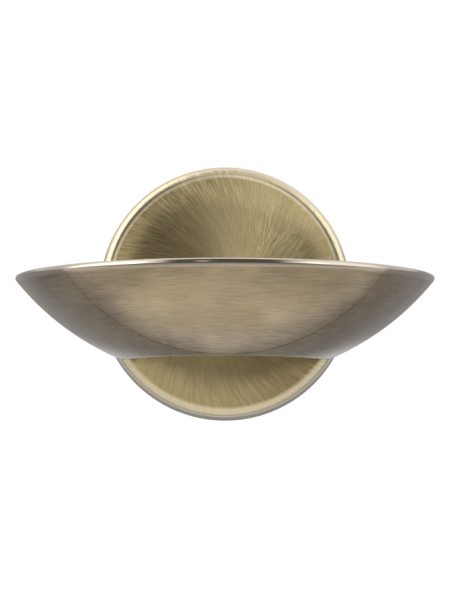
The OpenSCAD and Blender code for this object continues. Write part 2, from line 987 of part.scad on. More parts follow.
wall_bracket();
cable_grommet();
terminal_block();
terminal_screws();
block_screw();
earth_screw();
earth_stud();
earth_nut();
ring_terminals();
earth_lead();
wall_plate();
side_screws();
driver_case();
driver_studs();
driver_nuts();
live_lead();
neutral_lead();
led_positive_lead();
led_negative_lead();
wire_grommet();
dish();
back_panel();
dish_screws();
dish_nuts();
led_carrier();
upper_led_board();
lower_led_board();
led_chips();
led_phosphor();
board_screws();
board_connector();
link_positive_lead();
link_negative_lead();
link_grommet();
glass_ledge();
glass_pads();
glass_diffuser();
lower_lens();
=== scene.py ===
# %% [markdown]
# # A brass wall light with a half-bowl dish
# The light hangs on a wall: a round plate covers the wiring, and a spun half bowl stands in front of it.
# LEDs inside the bowl shine up through a loose frosted glass and down through a small frosted lens.
# This lesson dresses a finished CAD model. It loads the model as a fixed frame, turns finer pieces for
# what the eye lands on, and gives every piece a finish made of shader nodes.

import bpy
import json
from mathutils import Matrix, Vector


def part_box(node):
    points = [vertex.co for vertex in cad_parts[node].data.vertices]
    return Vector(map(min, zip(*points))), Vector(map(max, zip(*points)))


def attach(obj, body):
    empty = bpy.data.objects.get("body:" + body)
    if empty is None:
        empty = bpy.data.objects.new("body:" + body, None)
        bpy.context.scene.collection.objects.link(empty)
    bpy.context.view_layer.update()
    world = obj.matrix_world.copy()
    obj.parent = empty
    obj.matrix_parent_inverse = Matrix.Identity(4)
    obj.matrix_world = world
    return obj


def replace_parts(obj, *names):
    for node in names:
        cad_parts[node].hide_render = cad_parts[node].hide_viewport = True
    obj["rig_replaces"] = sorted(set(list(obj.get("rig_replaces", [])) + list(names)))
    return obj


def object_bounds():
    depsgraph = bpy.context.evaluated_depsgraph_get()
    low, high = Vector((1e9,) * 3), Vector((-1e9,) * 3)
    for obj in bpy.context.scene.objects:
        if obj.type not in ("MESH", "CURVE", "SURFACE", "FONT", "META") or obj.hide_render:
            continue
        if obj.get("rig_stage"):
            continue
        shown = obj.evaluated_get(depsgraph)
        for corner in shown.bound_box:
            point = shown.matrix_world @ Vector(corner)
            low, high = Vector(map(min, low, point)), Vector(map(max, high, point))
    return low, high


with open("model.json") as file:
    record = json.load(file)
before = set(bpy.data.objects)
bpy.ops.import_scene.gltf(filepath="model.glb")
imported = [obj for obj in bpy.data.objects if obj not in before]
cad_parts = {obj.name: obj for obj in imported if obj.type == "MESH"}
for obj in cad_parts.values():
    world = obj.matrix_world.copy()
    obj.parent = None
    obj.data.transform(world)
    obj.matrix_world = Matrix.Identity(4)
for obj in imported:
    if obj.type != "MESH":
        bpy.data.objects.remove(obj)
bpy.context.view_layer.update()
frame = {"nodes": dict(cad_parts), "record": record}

# %% Libraries and the unit
import json
import math

import bmesh
import bpy
from mathutils import Matrix, Vector

MM = 0.001
scene = bpy.context.scene
nodes = frame["nodes"]

# %% [markdown]
# ## The camera
# The photograph was taken from the front and a little below, so the underside of the plate's rounded edge
# shows wider than its top. A long lens keeps the dish's two tips level and the plate nearly a true circle.
# The picture is 450 by 600 pixels, and Blender's sensor width counts along the longer side of it.

# %% Camera
PICTURE_LONG_SIDE = 600
FOCAL_PIXELS = 2964
DISTANCE, BELOW, LOOKS_UP = 1.5, 131.6 * MM, 4.914
camera_data = bpy.data.cameras.new("camera")
camera_data.sensor_width = 36
camera_data.lens = FOCAL_PIXELS * camera_data.sensor_width / PICTURE_LONG_SIDE
camera_data.clip_end = 50
camera = bpy.data.objects.new("camera", camera_data)
camera.location = (0, -DISTANCE, -BELOW)
camera.rotation_euler = (math.radians(90 + LOOKS_UP), 0, 0)
scene.collection.objects.link(camera)
scene.camera = camera
print("lens, mm:", round(camera_data.lens, 1))

# %% [markdown]
# ## Drawing with operators
# A turned piece starts as a section: a chain of edges on the plane x, z. The pen below draws it with two
# operators. A straight stroke extrudes the last vertex, and an arc spins it about a centre, so no point of
# an arc is worked out by hand. The finished section is then spun about the piece's own axis.

# %% A pen for sections
ACROSS = Vector((0, 1, 0))


class Pen:
    """Draws a section on the plane x, z as a chain of edges."""

    def __init__(self, x, z):
        self.mesh = bmesh.new()
        self.tip = self.mesh.verts.new((x, 0, z))

    def line(self, x, z):
        made = bmesh.ops.extrude_vert_indiv(self.mesh, verts=[self.tip])
        self.tip = made["verts"][0]
        self.tip.co = (x, 0, z)

    def arc(self, x, z, degrees, steps):
        """Turns the tip about a centre. Positive degrees go from x towards z."""
        made = bmesh.ops.spin(
            self.mesh, geom=[self.tip], cent=(x, 0, z), axis=-ACROSS, angle=math.radians(degrees), steps=steps)
        self.tip = next(g for g in made["geom_last"] if isinstance(g, bmesh.types.BMVert))


def turn(mesh, centre, axis, steps):
    """Spins a section once round an axis and closes its seam and poles."""
    bmesh.ops.spin(
        mesh, geom=mesh.verts[:] + mesh.edges[:], cent=centre, axis=axis,
        angle=math.tau, steps=steps, use_merge=True)
    bmesh.ops.remove_doubles(mesh, verts=mesh.verts, dist=0.002 * MM)
    bmesh.ops.recalc_face_normals(mesh, faces=mesh.faces)


def cut_away(mesh, point, outward, fill=True):
    """Cuts off what lies past a plane and closes the cut."""
    made = bmesh.ops.bisect_plane(
        mesh, geom=mesh.verts[:] + mesh.edges[:] + mesh.faces[:], dist=0.0005 * MM,
        plane_co=point, plane_no=outward, clear_outer=True)
    if fill:
        rim = [g for g in made["geom_cut"] if isinstance(g, bmesh.types.BMEdge)]
        bmesh.ops.holes_fill(mesh, edges=rim, sides=0)


def ease(mesh, width, sharper_than, segments=2, where=None):
    """Rounds the edges that are sharper than an angle, as a real arris is never knife-sharp."""
    sharp = [e for e in mesh.edges if len(e.link_faces) == 2
             and e.calc_face_angle(0) > math.radians(sharper_than) and (where is None or where(e))]
    if sharp:
        bmesh.ops.bevel(
            mesh, geom=sharp, offset=width, offset_type="OFFSET", affect="EDGES", segments=segments,
            profile=0.5, material=-1, clamp_overlap=True)


def finished(mesh, name, body, replaced, smooth_below=35):
    """Makes the piece an object, shades it smooth up to an angle and puts it on its body."""
    data = bpy.data.meshes.new(name)
    mesh.to_mesh(data)
    mesh.free()
    data.shade_smooth()
    data.set_sharp_from_angle(angle=math.radians(smooth_below))
    piece = bpy.data.objects.new(name, data)
    scene.collection.objects.link(piece)
    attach(piece, body)
    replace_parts(piece, *replaced)
    low = [min(v.co[i] for v in data.vertices) / MM for i in range(3)]
    high = [max(v.co[i] for v in data.vertices) / MM for i in range(3)]
    print(f"{name}: {len(data.polygons)} faces, mm", [round(v, 2) for v in low + high])
    return piece


pieces = {}

# %% [markdown]
# ## The wall plate
# The plate is one sheet of brass, drawn over a die: a flat face, a rounded shoulder and a wall that leans
# out a little so that it comes off the die. A lathe shape fits it exactly. The shoulder gets many steps,
# because a polished curve shows every facet in its reflections, and the flat face needs only one.

# %% Wall plate
PLATE_R, PLATE_DEPTH, SHEET = 64 * MM, 22 * MM, 1 * MM
SHOULDER_R, DRAFT = 5 * MM, math.radians(3.5)
shoulder_s = PLATE_DEPTH - SHOULDER_R
shoulder_x = PLATE_R - (SHOULDER_R + shoulder_s * math.sin(DRAFT)) / math.cos(DRAFT)
sweep = 90 - math.degrees(DRAFT)

pen = Pen(0, PLATE_DEPTH)
pen.line(shoulder_x * 0.5, PLATE_DEPTH)
pen.line(shoulder_x * 0.97, PLATE_DEPTH)
pen.line(shoulder_x, PLATE_DEPTH)
pen.arc(shoulder_x, shoulder_s, -sweep, 20)
pen.line(PLATE_R, 0)
pen.line(PLATE_R - SHEET / math.cos(DRAFT), 0)
inner_r = SHOULDER_R - SHEET
pen.line(shoulder_x + inner_r * math.cos(DRAFT), shoulder_s + inner_r * math.sin(DRAFT))
pen.arc(shoulder_x, shoulder_s, sweep, 12)
pen.line(0, PLATE_DEPTH - SHEET)
turn(pen.mesh, (0, 0, 0), (0, 0, 1), 256)
ease(pen.mesh, 0.25 * MM, 60)
bmesh.ops.rotate(pen.mesh, verts=pen.mesh.verts, cent=(0, 0, 0), matrix=Matrix.Rotation(math.pi / 2, 3, "X"))
pieces["plate"] = finished(pen.mesh, "plate", "fixture", ["wall_plate"])

# %% [markdown]
# ## The dish
# The dish is a bowl spun from sheet on a lathe and then cut in half. Its outside is part of a sphere. The
# rim is rolled into a hollow bead and polished, and a smaller bead stiffens the lower lip. Both beads touch
# the sphere from inside, so the outside runs into them without a step. The section is drawn once round:
# outer wall, rim bead, inner wall, lip bead.

# %% Dish
DISH_AXIS = Vector((0, 0.3529 * MM, 0))
SPHERE_R, SPHERE_Z, DISH_SHEET = 136.43 * MM, 89.72 * MM, 1.2 * MM
RIM_R, LIP_R = 2.2 * MM, 0.9 * MM
rim_centre = Vector((105.147, 0, 6.3)) * MM
lip_centre = Vector((55.947, 0, -33.7)) * MM


def round_bead(centre, bead_r):
    """How the sphere meets a bead: the bead's bearing, and where the inner wall leaves the bead."""
    away = centre - Vector((0, 0, SPHERE_Z))
    bearing = math.degrees(math.atan2(away.z, away.x))
    wall = SPHERE_R - DISH_SHEET
    leaving = math.degrees(math.acos(
        (wall**2 - away.length**2 - bead_r**2) / (2 * away.length * bead_r)))
    meets = math.hypot(away.x, away.z) + bead_r * math.cos(math.radians(leaving))
    swing = math.degrees(math.atan2(bead_r * math.sin(math.radians(leaving)), meets))
    return bearing, leaving, swing


rim_bearing, rim_leaving, rim_swing = round_bead(rim_centre, RIM_R)
lip_bearing, lip_leaving, lip_swing = round_bead(lip_centre, LIP_R)
start = Vector((0, 0, SPHERE_Z)) + SPHERE_R * Vector(
    (math.cos(math.radians(lip_bearing)), 0, math.sin(math.radians(lip_bearing))))
pen = Pen(start.x, start.z)
pen.arc(0, SPHERE_Z, rim_bearing - lip_bearing, 48)
pen.arc(rim_centre.x, rim_centre.z, 360 - rim_leaving, 36)
pen.arc(0, SPHERE_Z, (lip_bearing + lip_swing) - (rim_bearing - rim_swing), 40)
pen.arc(lip_centre.x, lip_centre.z, 360 - lip_leaving, 20)
pen.tip.co = start
turn(pen.mesh, DISH_AXIS, (0, 0, 1), 288)
cut_away(pen.mesh, (0, -PLATE_DEPTH, 0), (0, 1, 0))
bmesh.ops.recalc_face_normals(pen.mesh, faces=pen.mesh.faces)
ease(pen.mesh, 0.2 * MM, 60, where=lambda e: all(abs(v.co.y + PLATE_DEPTH) < 0.01 * MM for v in e.verts))
pieces["bowl"] = finished(pen.mesh, "bowl", "fixture", ["dish"], 50)

# %% [markdown]
# ## The glass and the lens
# The upper glass is a half disc of 4 mm float glass. Its edge is ground to a small chamfer, which catches
# a line of light. The lower lens is a thin frosted acrylic disc, trimmed where it meets the back panel. Both
# start as a circle or a cone that planes cut back.

# %% Upper glass
glass_low, glass_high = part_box("glass_diffuser")
glass_r = -glass_low.y + DISH_AXIS.y
mesh = bmesh.new()
bmesh.ops.create_circle(
    mesh, cap_ends=True, radius=glass_r, segments=288,
    matrix=Matrix.Translation(DISH_AXIS + Vector((0, 0, glass_low.z))))
cut_away(mesh, (0, glass_high.y, 0), (0, 1, 0), fill=False)
cut_away(mesh, (glass_high.x, 0, 0), (1, 0, 0), fill=False)
cut_away(mesh, (glass_low.x, 0, 0), (-1, 0, 0), fill=False)
made = bmesh.ops.extrude_face_region(mesh, geom=mesh.faces[:])
raised = [g for g in made["geom"] if isinstance(g, bmesh.types.BMVert)]
bmesh.ops.translate(mesh, verts=raised, vec=(0, 0, glass_high.z - glass_low.z))
bmesh.ops.recalc_face_normals(mesh, faces=mesh.faces)
ease(mesh, 0.5 * MM, 60, segments=1, where=lambda e: abs(e.verts[0].co.z - e.verts[1].co.z) < 0.01 * MM)
pieces["glass"] = finished(mesh, "glass_plate", "glass", ["glass_diffuser"])

# %% Lower lens
lens_low, lens_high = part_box("lower_lens")


def bowl_inside_r(z):
    return math.sqrt((SPHERE_R - DISH_SHEET - 0.06 * MM) ** 2 - (SPHERE_Z - z) ** 2)


mesh = bmesh.new()
bmesh.ops.create_cone(
    mesh, cap_ends=True, segments=256, radius1=bowl_inside_r(lens_low.z), radius2=bowl_inside_r(lens_high.z),
    depth=lens_high.z - lens_low.z,
    matrix=Matrix.Translation(DISH_AXIS + Vector((0, 0, (lens_low.z + lens_high.z) / 2))))
cut_away(mesh, (0, lens_high.y, 0), (0, 1, 0))
bmesh.ops.recalc_face_normals(mesh, faces=mesh.faces)
ease(mesh, 0.2 * MM, 40)
pieces["lens"] = finished(mesh, "lens_plate", "fixture", ["lower_lens"])

# %% [markdown]
# ## Eased copies of the CAD parts
# The brackets, screws and boxes are right as they are, but their edges are perfectly sharp, and a sharp
# edge never catches the light. A copy of each is welded, its flat faces are joined, and its edges are
# rounded by a tenth or two of a millimetre. The CAD mesh itself stays untouched and is hidden.


# %% Copy, weld and ease
ARRIS_ANGLE = 32


def eased_copy(node, width):
    """A copy of a CAD node with its sharp edges rounded."""
    mesh = bmesh.new()
    mesh.from_mesh(nodes[node].data)
    bmesh.ops.remove_doubles(mesh, verts=mesh.verts, dist=0.001 * MM)
    bmesh.ops.dissolve_limit(
        mesh, angle_limit=math.radians(0.4), verts=mesh.verts, edges=mesh.edges, use_dissolve_boundaries=False)
    ease(mesh, width, ARRIS_ANGLE)
    return finished(mesh, node + "_eased", "fixture", [node], ARRIS_ANGLE - 2)


for node, width in {
    "wall_bracket": 0.2 * MM, "driver_case": 0.5 * MM, "terminal_block": 0.3 * MM, "led_carrier": 0.15 * MM,
    "back_panel": 0.15 * MM, "side_screws": 0.2 * MM, "dish_screws": 0.2 * MM,
}.items():
    pieces[node] = eased_copy(node, width)

# %% [markdown]
# ## Writing finishes as sums
# A finish is a small program of shader nodes. The two classes below let it be written as ordinary sums: a
# wire carries one output of a node and knows the operators, and a finish makes nodes and joins them. Only
# numbers use the operators. Colours and directions go through their own nodes, because a Math node would
# turn a colour grey.


# %% Wires and finishes
class Wire:
    """One output of a shader node, with the operators that the finishes use."""

    def __init__(self, finish, socket):
        self.finish = finish
        self.socket = socket

    def __add__(self, other):
        return self.finish.sum("ADD", self, other)

    def __sub__(self, other):
        return self.finish.sum("SUBTRACT", self, other)

    def __rsub__(self, other):
        return self.finish.sum("SUBTRACT", other, self)

    def __mul__(self, other):
        return self.finish.sum("MULTIPLY", self, other)

    def __truediv__(self, other):
        return self.finish.sum("DIVIDE", self, other)

    def __pow__(self, other):
        return self.finish.sum("POWER", self, other)

    __radd__ = __add__
    __rmul__ = __mul__


class Finish:
    """A material that is built from wires."""

    def __init__(self, name):
        self.material = bpy.data.materials.new(name)
        self.material.use_nodes = True
        self.tree = self.material.node_tree
        self.shader = self.tree.nodes["Principled BSDF"]

    def node(self, kind, settings=None, sockets=None, out=0):
        """Makes a node: its settings first, then the values or wires of its sockets."""
        made = self.tree.nodes.new(kind)
        for name, value in (settings or {}).items():
            setattr(made, name, value)
        self.plug(made, sockets or {})
        return Wire(self, made.outputs[out])

    def plug(self, node, sockets):
        for name, value in sockets.items():
            socket = node.inputs[name]
            if isinstance(value, Wire):
                self.tree.links.new(value.socket, socket)
            elif socket.type == "RGBA" and len(value) == 3:
                socket.default_value = (*value, 1)
            else:
                socket.default_value = value

    def sum(self, operation, *values):
        return self.node("ShaderNodeMath", {"operation": operation}, dict(enumerate(values)))

    def length(self, a, b):
        """The distance that two lengths at right angles make."""
        return (a * a + b * b) ** 0.5

    def place(self, middle=(0, 0, 0), scale=(1, 1, 1)):
        """Object coordinates, centred on a point and then stretched, one unit to the metre."""
        read = self.node("ShaderNodeTexCoord", out=3)
        moved = self.node("ShaderNodeVectorMath", {"operation": "SUBTRACT"}, {0: read, 1: middle})
        return self.node("ShaderNodeVectorMath", {"operation": "MULTIPLY"}, {0: moved, 1: scale})

    def parts(self, vector):
        """The x, y and z of a vector."""
        made = self.node("ShaderNodeSeparateXYZ", None, {0: vector})
        outputs = made.socket.node.outputs
        return [Wire(self, outputs[i]) for i in range(3)]

    def vector(self, x, y, z):
        return self.node("ShaderNodeCombineXYZ", None, {0: x, 1: y, 2: z})

    def noise(self, vector, scale, detail=2, roughness=0.5):
        """Soft noise from 0 to 1, with its middle at one half."""
        return self.node(
            "ShaderNodeTexNoise", {"noise_dimensions": "3D"},
            {"Vector": vector, "Scale": scale, "Detail": detail, "Roughness": roughness})

    def blend(self, share, first, second):
        """Mixes two colours."""
        return self.node(
            "ShaderNodeMix", {"data_type": "RGBA", "clamp_factor": True}, {0: share, 6: first, 7: second}, out=2)

    def step(self, value, low, high):
        """0 before low and 1 past high, with a soft way between. Low may be the larger of the two."""
        return self.node(
            "ShaderNodeMapRange", {"interpolation_type": "SMOOTHSTEP"},
            {"Value": value, "From Min": low, "From Max": high})

    def bump(self, height, distance):
        return self.node("ShaderNodeBump", None, {"Height": height, "Distance": distance, "Strength": 1.0})

    def tilt(self, lean):
        """The surface's own direction, leaned by a vector, as the walls of fine scratches lean it."""
        own = self.node("ShaderNodeNewGeometry", out=1)
        turned = self.node(
            "ShaderNodeVectorTransform", {"vector_type": "VECTOR", "convert_from": "OBJECT", "convert_to": "WORLD"},
            {0: lean})
        both = self.node("ShaderNodeVectorMath", {"operation": "ADD"}, {0: own, 1: turned})
        return self.node("ShaderNodeVectorMath", {"operation": "NORMALIZE"}, {0: both})

    def surface(self, **sockets):
        """Plugs the shader: an underscore in a name stands for a space."""
        self.plug(self.shader, {name.replace("_", " "): value for name, value in sockets.items()})
        return self.material


finishes = {}


def linear(*srgb):
    """A colour that was read off a picture as 0 to 255, in the numbers that shaders use."""
    return tuple(v / 255 / 12.92 if v <= 10 else ((v / 255 + 0.055) / 1.055) ** 2.4 for v in srgb)


# %% [markdown]
# ## Antique brass on the plate
# The plate's face was brushed outwards from its centre and then lacquered. Each scratch is a tiny groove,
# so it throws light sideways, across the scratch, and that makes bright and dark fans round the centre. The
# tilt below leans the surface sideways by a fine noise that is stretched along the scratches. A second,
# coarser noise varies the tone from streak to streak.
# The tone also turns with the bearing. That fan in the colour is painted sheen. It stands for the bright and dark
# fans that the finest scratches, thinner than a pixel, throw, and it stays where it is when the light moves. One
# picture can't tell how much of a fan is light and how much is stain, so each has a share, and the stain's share
# stays where it is when the light moves. The tilt gives the share of the fan that follows the light. Before the
# shoulder the face falls away softly. That is a lean of the surface here and not a shape, and a painted highlight
# and a thin painted dark line run round outside it.


# %% Plate brass
SCRATCH_CURL = math.radians(20)
FAN_BEARING = math.radians(26)


def plate_brass():
    f = Finish("plate_brass")
    x, y, z = f.parts(f.place())
    radius = f.length(x, z)
    out_x, out_z = x / (radius + 0.0001), z / (radius + 0.0001)
    # along one scratch the bearing grows with the logarithm of the radius, so it keeps one angle to the spokes
    curl = f.sum("LOGARITHM", radius / MM + 1.0, math.e) * math.tan(SCRATCH_CURL)
    cos_c, sin_c = f.sum("COSINE", curl), f.sum("SINE", curl)
    along_x, along_z = out_x * cos_c + out_z * sin_c, out_z * cos_c - out_x * sin_c
    hair = f.noise(f.vector(along_x * 3000.0, along_z * 3000.0, radius * 300.0), 1.0, 2, 0.6)
    streak = f.noise(f.vector(along_x * 62.0, along_z * 62.0, radius * 95.0), 1.0, 3, 0.7)
    broad = f.noise(f.vector(along_x * 7.0, along_z * 7.0, radius * 20.0), 1.0, 2, 0.5)
    # each scratch leans the surface to its own side
    sideways = (hair - 0.5) * 3.6 + (streak - 0.5) * 0.8
    side_x = out_x * -math.sin(SCRATCH_CURL) - out_z * math.cos(SCRATCH_CURL)
    side_z = out_x * math.cos(SCRATCH_CURL) - out_z * math.sin(SCRATCH_CURL)
    # the pressed face falls away softly before its shoulder
    held_below = f.step(z, 0.0, -0.02) * f.step(radius, 61.5 * MM, 59.5 * MM)
    outwards = f.step(radius, 40 * MM, 55 * MM) * 0.34 * f.sum(
        "MAXIMUM", held_below, f.step(radius, 58.6 * MM, 57.2 * MM))
    lean = f.vector(out_x * outwards + side_x * sideways, 0.0, out_z * outwards + side_z * sideways)
    # painted sheen: a fan of light and dark painted into the colour, brightest on a bearing a little to the right
    # of straight up
    painted_sheen_fan = (out_z * out_z - out_x * out_x) * math.cos(2 * FAN_BEARING)
    painted_sheen_fan = painted_sheen_fan + out_x * out_z * (2 * math.sin(2 * FAN_BEARING))
    tone = (streak - 0.5) * 1.2 + (broad - 0.5) * 0.3 + painted_sheen_fan * 0.28 + 0.5
    face = f.blend(tone, linear(122, 106, 73), linear(206, 187, 140))
    edge = f.step(radius, 57.6 * MM, 60 * MM)
    # a painted highlight ring and, outside it, a thin painted dark line, on the upper half only: the lit and dark
    # reflections where the face turns into the shoulder
    painted_highlight_ring = f.step(radius, 56.6 * MM, 57.8 * MM) * f.step(radius, 58.9 * MM, 58.3 * MM) * f.step(z, -0.02, 0.02)
    painted_dark_line = f.step(radius, 58.3 * MM, 58.8 * MM) * f.step(radius, 59.7 * MM, 59.2 * MM) * f.step(z, 0.0, 0.03)
    painted_dark_line = painted_dark_line * f.step(f.sum("ABSOLUTE", x), 0.005, 0.035)
    # the shoulder is painted paler: painted sheen that stands for the lacquer's white reflection over the brass
    colour = f.blend(edge * 0.8, face, linear(222, 210, 178))
    colour = f.blend(painted_highlight_ring * 0.55, colour, linear(250, 238, 206))
    return f.surface(
        Base_Color=f.blend(painted_dark_line * 0.6, colour, linear(104, 88, 54)), Metallic=1.0,
        Roughness=0.4 + (streak - 0.5) * 0.1 - edge * 0.1, Normal=f.tilt(lean),
        Coat_Weight=0.6, Coat_Roughness=0.12)


finishes["plate_brass"] = plate_brass()
print("plate brass, shader nodes:", len(finishes["plate_brass"].node_tree.nodes))

# %% [markdown]
# ## Antique brass on the dish
# The dish was brushed round its axis while it turned, so its scratches run level. The rim bead was polished nearly
# bare and shows the room. The tone is lighter in the middle and darkens towards the tips. Part of that is the stain
# rubbed back most in the middle, and part is a painted reflection of the bright floor that the dish's middle shows.
# It is written into the colour, so it stays when the light moves.


# %% Dish brass
def dish_brass():
    f = Finish("dish_brass")
    x, y, z = f.parts(f.place(DISH_AXIS))
    radius = f.length(x, y)
    out_x, out_y = x / (radius + 0.0001), y / (radius + 0.0001)
    hair = f.noise(f.vector(out_x * 40.0, out_y * 40.0, z * 9000.0), 1.0, 2, 0.6)
    streak = f.noise(f.vector(out_x * 8.0, out_y * 8.0, z * 2200.0), 1.0, 4, 0.7)
    broad = f.noise(f.vector(out_x * 3.5, out_y * 3.5, z * 70.0), 1.0, 2, 0.5)
    body = f.step(z, 5.4 * MM, 3.6 * MM)
    upwards = ((hair - 0.5) * 0.22 + (streak - 0.5) * 0.16) * body
    # lighter in the middle: partly the stain rubbed back, partly a painted reflection of the bright floor in front
    relief_and_painted_sheen = f.step(f.length(x + 0.006, (z + 0.012) * 3.4), 0.08, 0.0)
    tone = (streak - 0.5) * 1.15 + (broad - 0.5) * 1.1 + relief_and_painted_sheen * 0.4 + 0.33
    relieved_and_sheen = f.blend(tone, linear(108, 92, 66), linear(182, 164, 131))
    return f.surface(
        Base_Color=f.blend((1.0 - body) * 0.55, relieved_and_sheen, linear(200, 189, 176)), Metallic=1.0,
        Roughness=0.14 + body * 0.1, Normal=f.tilt(f.vector(0.0, 0.0, upwards)),
        Coat_Weight=1.0, Coat_Roughness=0.03)


finishes["dish_brass"] = dish_brass()
print("dish brass, shader nodes:", len(finishes["dish_brass"].node_tree.nodes))

# %% [markdown]
# ## The other finishes
# Behind the brass are everyday materials: zinc-plated steel, bare aluminium, rubber, moulded plastic, wire
# sleeves, a white board and frosted glass. Each one gets the small unevenness of the real thing.


# %% Metals inside
def plain_metal(name, low, high, rough, grain=(400, 400, 400)):
    """A plated or bare metal: its tone and its gloss vary with the same grain."""
    f = Finish(name)
    grainy = f.noise(f.place(scale=grain), 1.0, 4, 0.6)
    patchy = f.noise(f.place(), 90.0, 3, 0.6)
    return f.surface(
        Base_Color=f.blend(f.step(grainy * 0.6 + patchy * 0.4, 0.3, 0.7), low, high), Metallic=1.0,
        Roughness=rough + (patchy - 0.5) * 0.2 + (grainy - 0.5) * 0.1,
        Normal=f.bump(grainy, 0.03 * MM))


finishes["zinc_steel"] = plain_metal("zinc_steel", linear(168, 172, 176), linear(206, 208, 206), 0.38)
finishes["tinned_copper"] = plain_metal("tinned_copper", linear(176, 174, 170), linear(214, 212, 206), 0.34)
finishes["bright_brass"] = plain_metal("bright_brass", linear(196, 164, 92), linear(222, 194, 124), 0.28)
finishes["copper_stud"] = plain_metal("copper_stud", linear(178, 118, 82), linear(206, 148, 106), 0.34)
finishes["carrier_aluminium"] = plain_metal(
    "carrier_aluminium", linear(184, 186, 188), linear(216, 217, 218), 0.36, grain=(60, 900, 900))


# %% Rubber and plastics
def moulded(name, low, high, rough, pebble=900.0, depth=0.02 * MM):
    """A moulded plastic or rubber: a fine pebbled skin and a faint unevenness of tone."""
    f = Finish(name)
    skin = f.noise(f.place(), pebble, 3, 0.5)
    patchy = f.noise(f.place(), 60.0, 3, 0.6)
    return f.surface(
        Base_Color=f.blend(f.step(patchy, 0.35, 0.65), low, high), Roughness=rough + (patchy - 0.5) * 0.15,
        Normal=f.bump(skin, depth))


finishes["black_rubber"] = moulded("black_rubber", (0.018, 0.018, 0.019), (0.03, 0.03, 0.031), 0.72, 1400.0)
finishes["clear_silicone"] = moulded("clear_silicone", (0.62, 0.62, 0.6), (0.7, 0.7, 0.68), 0.4)
finishes["cream_plastic"] = moulded("cream_plastic", linear(226, 220, 198), linear(234, 229, 210), 0.42)
finishes["white_plastic"] = moulded("white_plastic", linear(226, 227, 222), linear(235, 235, 231), 0.45, 1600.0)
for sleeve, low, high in [
    ("brown_sleeve", linear(84, 50, 32), linear(98, 60, 38)),
    ("blue_sleeve", linear(30, 78, 150), linear(42, 92, 168)),
    ("red_sleeve", linear(158, 30, 26), linear(178, 40, 32)),
    ("black_sleeve", (0.016, 0.016, 0.016), (0.026, 0.026, 0.026)),
]:
    finishes[sleeve] = moulded(sleeve, low, high, 0.38, 700.0, 0.01 * MM)


# %% Earth lead's two colours
def green_yellow_sleeve():
    f = Finish("green_yellow_sleeve")
    x, y, z = f.parts(f.place((46 * MM, 0, 0)))
    stripe = f.step(f.sum("ABSOLUTE", x), 0.55 * MM, 0.65 * MM)
    patchy = f.noise(f.place(), 200.0, 3, 0.6)
    green = f.blend(patchy, linear(40, 118, 44), linear(58, 140, 56))
    yellow = f.blend(patchy, linear(214, 196, 40), linear(232, 214, 62))
    return f.surface(
        Base_Color=f.blend(stripe, green, yellow), Roughness=0.36 + (patchy - 0.5) * 0.1,
        Normal=f.bump(patchy, 0.01 * MM))


finishes["green_yellow_sleeve"] = green_yellow_sleeve()


# %% Boards and LEDs
def board_mask():
    f = Finish("board_mask")
    x, y, z = f.parts(f.place())
    skin = f.noise(f.place(), 500.0, 3, 0.5)
    patchy = f.noise(f.place(), 80.0, 2, 0.5)
    # the copper under the white mask shows as faint raised tracks between the chips
    track = f.step(f.sum("PINGPONG", y + 1.0, 3.5 * MM), 1.1 * MM, 1.2 * MM)
    colour = f.blend(patchy, linear(228, 230, 226), linear(236, 238, 235))
    return f.surface(
        Base_Color=f.blend(track * 0.35, colour, linear(206, 212, 204)), Roughness=0.34 + (skin - 0.5) * 0.1,
        Normal=f.bump(skin * 0.2 + track, 0.03 * MM))


finishes["board_mask"] = board_mask()
finishes["chip_white"] = moulded("chip_white", linear(232, 232, 224), linear(240, 240, 234), 0.4, 2500.0)


def phosphor_yellow():
    f = Finish("phosphor_yellow")
    speckle = f.noise(f.place(), 5200.0, 2, 0.6)
    return f.surface(
        Base_Color=f.blend(f.step(speckle, 0.35, 0.65), linear(222, 186, 62), linear(240, 214, 104)),
        Roughness=0.32 + speckle * 0.15, Normal=f.bump(speckle, 0.02 * MM))


finishes["phosphor_yellow"] = phosphor_yellow()


# %% Frosted glass and lens
def frosted(name, low, high, rough, passing):
    """Etched glass or frosted acrylic: light goes through it, but no shape does."""
    f = Finish(name)
    etched = f.noise(f.place(), 2600.0, 3, 0.6)
    cloudy = f.noise(f.place(), 40.0, 3, 0.5)
    return f.surface(
        Base_Color=f.blend(f.step(cloudy, 0.3, 0.7), low, high), Roughness=rough + (cloudy - 0.5) * 0.1,
        Transmission_Weight=passing, IOR=1.5, Normal=f.bump(etched, 0.008 * MM))


finishes["frosted_glass"] = frosted("frosted_glass", (0.86, 0.9, 0.88), (0.92, 0.95, 0.93), 0.5, 0.7)
finishes["frosted_lens"] = frosted("frosted_lens", (0.88, 0.88, 0.86), (0.93, 0.93, 0.91), 0.5, 0.6)

# %% [markdown]
# ## Handing out the finishes
# The record names a material slot for every CAD node. The same names are used here, so a node takes its
# finish straight from the record, and a new piece takes the one of the node that it stands for.

# %% Every node and piece gets its finish
slot_of = {part["node"]: part["material_slot"] for part in frame["record"]["subparts"]}
for name, node in nodes.items():
    node.data.materials.clear()
    node.data.materials.append(finishes[slot_of[name]])
for piece in pieces.values():
    slot = slot_of[piece["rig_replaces"][0]]
    piece.data.materials.append(finishes[slot])
print("finishes:", len(finishes), "nodes:", len(nodes), "new pieces:", len(pieces))

# %% [markdown]
# ## The studio
# The room behind the object and the floor are white. In front, behind the camera, the room is dim, and the
# brass shows that as its darker tones. The light hangs on a grey board, which the camera doesn't see but
# the metal does: the board's lower edge is the curved line across the lower half of the dish. The stage was
# fitted to what the photographed dish shows, so it is a likeness of that room and not a record of it.

# %% Floor and backdrop
FLOOR_Z = -200 * MM


def staged(mesh, name, finish):
    """Makes a mesh a piece of the stage, which isn't a part of the object."""
    data = bpy.data.meshes.new(name)
    mesh.to_mesh(data)
    mesh.free()
    data.materials.append(finish)
    sheet = bpy.data.objects.new(name, data)
    scene.collection.objects.link(sheet)
    sheet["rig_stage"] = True
    return sheet


